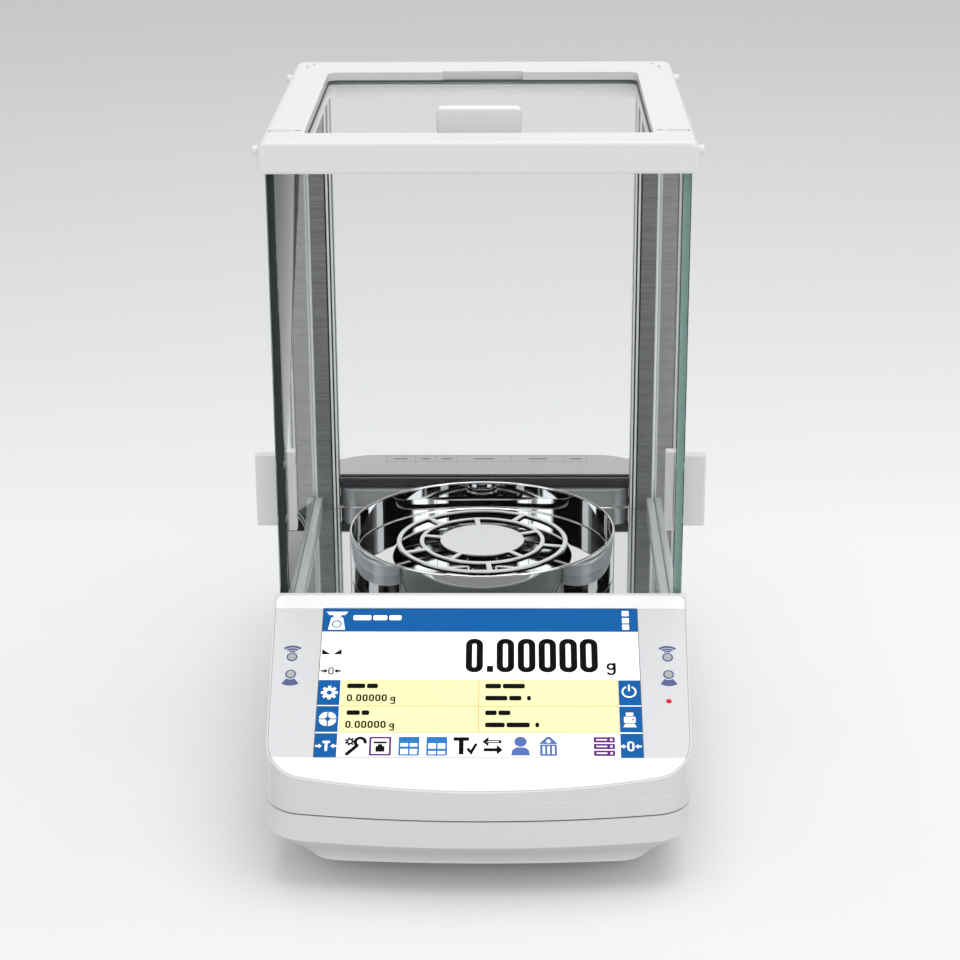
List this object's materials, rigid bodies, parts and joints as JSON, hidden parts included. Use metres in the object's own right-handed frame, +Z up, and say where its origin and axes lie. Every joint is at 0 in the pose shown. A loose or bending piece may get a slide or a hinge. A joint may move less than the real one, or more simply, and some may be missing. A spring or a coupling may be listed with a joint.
{
  "type": "analytical balance",
  "caption": "Analytical balance with a glass draft shield, sliding top and side doors, an openwork pan in a polished ring, and a sloping colour touch terminal.",
  "frame": {"origin": "centre of the whole object's footprint, on the bench under its feet", "axes": "+X to the operator's right, +Y to the rear, +Z up"},
  "size_m": [0.219, 0.355, 0.341],
  "materials": {
    "tray_paint": "fine satin powder coat, pale grey",
    "casing_plastic": "satin white moulded plastic",
    "frame_plastic": "satin white moulded plastic",
    "panel_film": "printed film, semi-gloss",
    "screen_glass": "lit display behind touch glass",
    "module_steel": "sheet steel module can",
    "circuit_board": "solder-masked laminate",
    "sensor_lens": "smoked lens",
    "led_lens": "red lens",
    "black_plastic": "moulded black",
    "connector_shell": "nickel-plated shells",
    "foot_rubber": "matt black rubber",
    "wheel_plastic": "moulded dark grey",
    "brass": "turned",
    "screw_steel": "zinc-plated",
    "cell_aluminium": "machined",
    "magnet_steel": "ground soft iron",
    "coil_copper": "wound enamelled copper",
    "weight_steel": "polished stainless weight",
    "polished_steel": "mirror-polished stainless steel",
    "clear_glass": "clear float glass, green edges",
    "grip_plastic": "satin light grey moulded plastic",
    "column_aluminium": "brushed and anodised",
    "track_aluminium": "satin anodised",
    "graphite_holder": "dark graphite moulding"
  },
  "bodies": {
    "housing": {"bottom_tray": "tray_paint", "base_casing": "casing_plastic", "terminal_panel": "panel_film", "display_glass": "screen_glass", "lcd_module": "module_steel", "terminal_board": "circuit_board", "sensor_windows": "sensor_lens", "status_led": "led_lens", "main_board": "circuit_board", "io_board": "circuit_board", "dc_jack": "black_plastic", "serial_ports": "connector_shell", "usb_ports": "connector_shell", "ethernet_port": "connector_shell", "foot_inserts": "brass", "case_screws": "screw_steel", "cell_base": "cell_aluminium", "magnet_pot": "magnet_steel", "position_sensor": "black_plastic", "calibration_motor": "magnet_steel", "chamber_floor": "polished_steel", "front_glass": "clear_glass", "rear_glass": "clear_glass", "rear_glass_holder": "graphite_holder", "rear_columns": "column_aluminium", "door_tracks": "track_aluminium", "top_front_bar": "frame_plastic", "top_side_rails": "frame_plastic", "top_rear_bar": "frame_plastic", "frame_pins": "frame_plastic"},
    "left_door": {"left_door_glass": "clear_glass", "left_outer_grip": "grip_plastic", "left_inner_grip": "grip_plastic", "left_grip_screws": "screw_steel"},
    "right_door": {"right_door_glass": "clear_glass", "right_outer_grip": "grip_plastic", "right_inner_grip": "grip_plastic", "right_grip_screws": "screw_steel"},
    "top_door": {"top_door_glass": "clear_glass", "top_grip": "grip_plastic"},
    "hook_cover": {"hook_cover": "casing_plastic"},
    "lever": {"lever_beam": "cell_aluminium", "force_coil": "coil_copper"},
    "hanger": {"hanger": "cell_aluminium"},
    "upper_guide": {"upper_guide": "cell_aluminium"},
    "lower_guide": {"lower_guide": "cell_aluminium"},
    "pan": {"weighing_pan": "polished_steel"},
    "ring": {"draft_ring": "polished_steel", "ring_feet": "black_plastic"},
    "calibration_screw": {"calibration_screw": "screw_steel"},
    "calibration_lift": {"calibration_lifter": "grip_plastic", "calibration_weight": "weight_steel"},
    "foot_front_left": {"foot_pad_front_left": "foot_rubber"},
    "foot_screw_front_left": {"foot_screw_front_left": "wheel_plastic"},
    "foot_front_right": {"foot_pad_front_right": "foot_rubber"},
    "foot_screw_front_right": {"foot_screw_front_right": "wheel_plastic"},
    "foot_rear_left": {"foot_pad_rear_left": "foot_rubber"},
    "foot_screw_rear_left": {"foot_screw_rear_left": "wheel_plastic"},
    "foot_rear_right": {"foot_pad_rear_right": "foot_rubber"},
    "foot_screw_rear_right": {"foot_screw_rear_right": "wheel_plastic"}
  },
  "joints": [
    {"name": "left_door_slide", "type": "slide", "parent": "housing", "child": "left_door", "axis": [0, 1, 0], "range_m": [0, 0.125]},
    {"name": "right_door_slide", "type": "slide", "parent": "housing", "child": "right_door", "axis": [0, 1, 0], "range_m": [0, 0.125]},
    {"name": "top_door_slide", "type": "slide", "parent": "housing", "child": "top_door", "axis": [0, 1, 0], "range_m": [0, 0.12]},
    {"name": "hook_cover_swing", "type": "hinge", "parent": "housing", "child": "hook_cover", "pos_m": [0.024, 0, 0.0103], "axis": [0, 0, 1], "range_deg": [0, 90]},
    {"name": "lever_tilt", "type": "hinge", "parent": "housing", "child": "lever", "pos_m": [0, 0.026, 0.06], "axis": [1, 0, 0], "range_deg": [-0.72, 0.72], "stiffness_Nm_per_rad": 25},
    {"name": "hanger_travel", "type": "slide", "parent": "housing", "child": "hanger", "axis": [0, 0, 1], "range_m": [-0.00021, 0.00021]},
    {"name": "upper_guide_flex", "type": "hinge", "parent": "housing", "child": "upper_guide", "pos_m": [0, 0.1177, 0.079], "axis": [1, 0, 0], "range_deg": [-0.12, 0.12]},
    {"name": "lower_guide_flex", "type": "hinge", "parent": "housing", "child": "lower_guide", "pos_m": [0, 0.1177, 0.039], "axis": [1, 0, 0], "range_deg": [-0.12, 0.12]},
    {"name": "pan_lift", "type": "slide", "parent": "hanger", "child": "pan", "axis": [0, 0, 1], "range_m": [0, 0.07]},
    {"name": "ring_lift", "type": "slide", "parent": "housing", "child": "ring", "axis": [0, 0, 1], "range_m": [0, 0.07]},
    {"name": "calibration_screw_turn", "type": "hinge", "parent": "housing", "child": "calibration_screw", "pos_m": [0, -0.062, 0.054], "axis": [0, 0, 1], "range_deg": [-5, 725]},
    {"name": "calibration_lift", "type": "slide", "parent": "housing", "child": "calibration_lift", "axis": [0, 0, 1], "range_m": [-0.008, 0]},
    {"name": "foot_level_front_left", "type": "slide", "parent": "housing", "child": "foot_front_left", "axis": [0, 0, 1], "range_m": [-0.006, 0.0008]},
    {"name": "foot_turn_front_left", "type": "hinge", "parent": "foot_front_left", "child": "foot_screw_front_left", "pos_m": [-0.06, -0.122, 0.008], "axis": [0, 0, 1], "range_deg": [-1735, 236]},
    {"name": "foot_level_front_right", "type": "slide", "parent": "housing", "child": "foot_front_right", "axis": [0, 0, 1], "range_m": [-0.006, 0.0008]},
    {"name": "foot_turn_front_right", "type": "hinge", "parent": "foot_front_right", "child": "foot_screw_front_right", "pos_m": [0.06, -0.122, 0.008], "axis": [0, 0, 1], "range_deg": [-1735, 236]},
    {"name": "foot_level_rear_left", "type": "slide", "parent": "housing", "child": "foot_rear_left", "axis": [0, 0, 1], "range_m": [-0.006, 0.0008]},
    {"name": "foot_turn_rear_left", "type": "hinge", "parent": "foot_rear_left", "child": "foot_screw_rear_left", "pos_m": [-0.06, 0.138, 0.008], "axis": [0, 0, 1], "range_deg": [-1735, 236]},
    {"name": "foot_level_rear_right", "type": "slide", "parent": "housing", "child": "foot_rear_right", "axis": [0, 0, 1], "range_m": [-0.006, 0.0008]},
    {"name": "foot_turn_rear_right", "type": "hinge", "parent": "foot_rear_right", "child": "foot_screw_rear_right", "pos_m": [0.06, 0.138, 0.008], "axis": [0, 0, 1], "range_deg": [-1735, 236]}
  ],
  "couplings": [
    {"joint": "hanger_travel", "follows": "lever_tilt", "m_per_rad": -0.0152},
    {"joint": "upper_guide_flex", "follows": "lever_tilt", "ratio": 0.1417},
    {"joint": "lower_guide_flex", "follows": "lever_tilt", "ratio": 0.1417},
    {"joint": "calibration_screw_turn", "follows": "calibration_lift", "rad_per_m": -1570.8},
    {"joint": "foot_turn_front_left", "follows": "foot_level_front_left", "rad_per_m": 5026.5},
    {"joint": "foot_turn_front_right", "follows": "foot_level_front_right", "rad_per_m": 5026.5},
    {"joint": "foot_turn_rear_left", "follows": "foot_level_rear_left", "rad_per_m": 5026.5},
    {"joint": "foot_turn_rear_right", "follows": "foot_level_rear_right", "rad_per_m": 5026.5}
  ]
}
